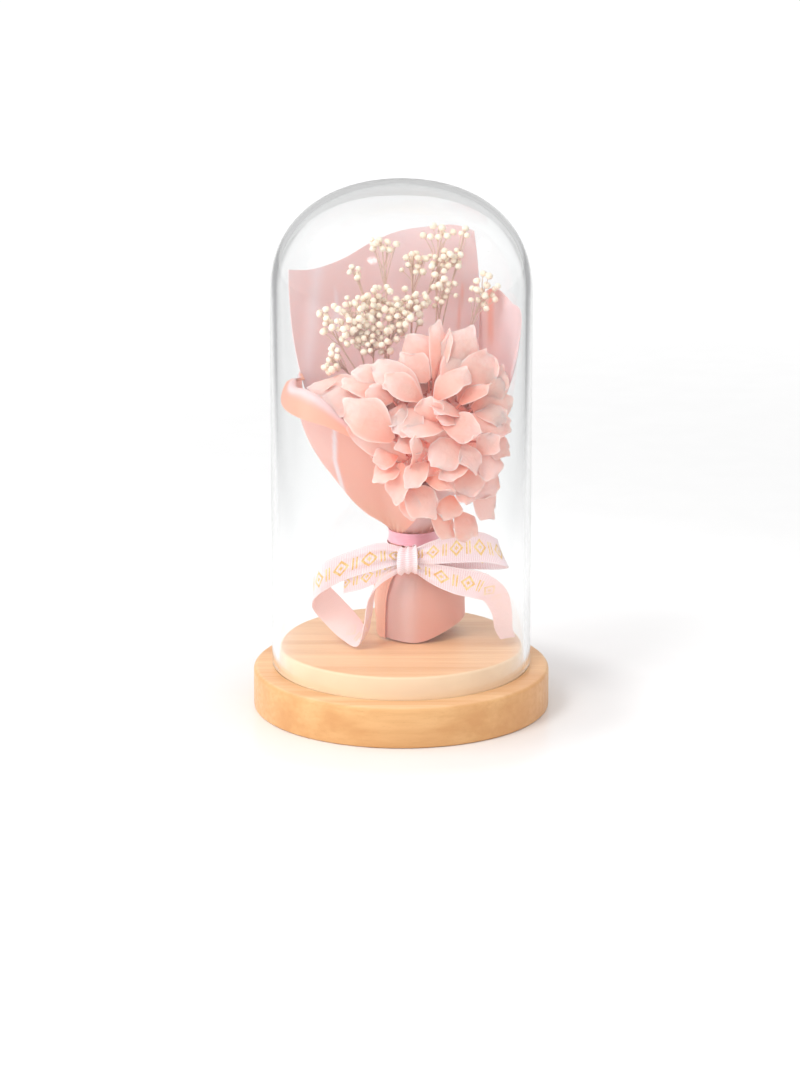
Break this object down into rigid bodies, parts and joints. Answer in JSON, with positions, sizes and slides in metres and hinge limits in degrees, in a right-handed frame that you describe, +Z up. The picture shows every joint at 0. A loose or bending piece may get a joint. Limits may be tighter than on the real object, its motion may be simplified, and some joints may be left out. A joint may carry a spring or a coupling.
{
  "type": "preserved hydrangea bouquet in a glass dome",
  "caption": "Small preserved hydrangea and baby's breath bouquet, wrapped in film and tied with a ribbon, standing on a turned wooden base under a clear glass dome.",
  "frame": {"origin": "middle of the wooden base's underside", "axes": "+Z up along the dome's axis, front of the bouquet towards -Y, +X to the right of the front view"},
  "size_m": [0.12, 0.12, 0.2163],
  "materials": {
    "wood": "pale beech with a satin lacquer",
    "glass": "clear, polished",
    "petals": "soft matte petals, pale pink with salmon depths",
    "buds": "dry matte cream buds on thin tan stems",
    "film_dusty": "matte wrapping film, dusty pink",
    "film_salmon": "matte wrapping film, salmon pink",
    "ribbon": "pale pink ribbed ribbon with a gold pattern"
  },
  "bodies": {
    "root": {"wood_base": "wood", "glass_dome": "glass", "hydrangea_head": "petals", "babys_breath": "buds", "film_back": "film_dusty", "film_right": "film_salmon", "film_front": "film_salmon", "ribbon_bow": "ribbon"}
  },
  "joints": []
}
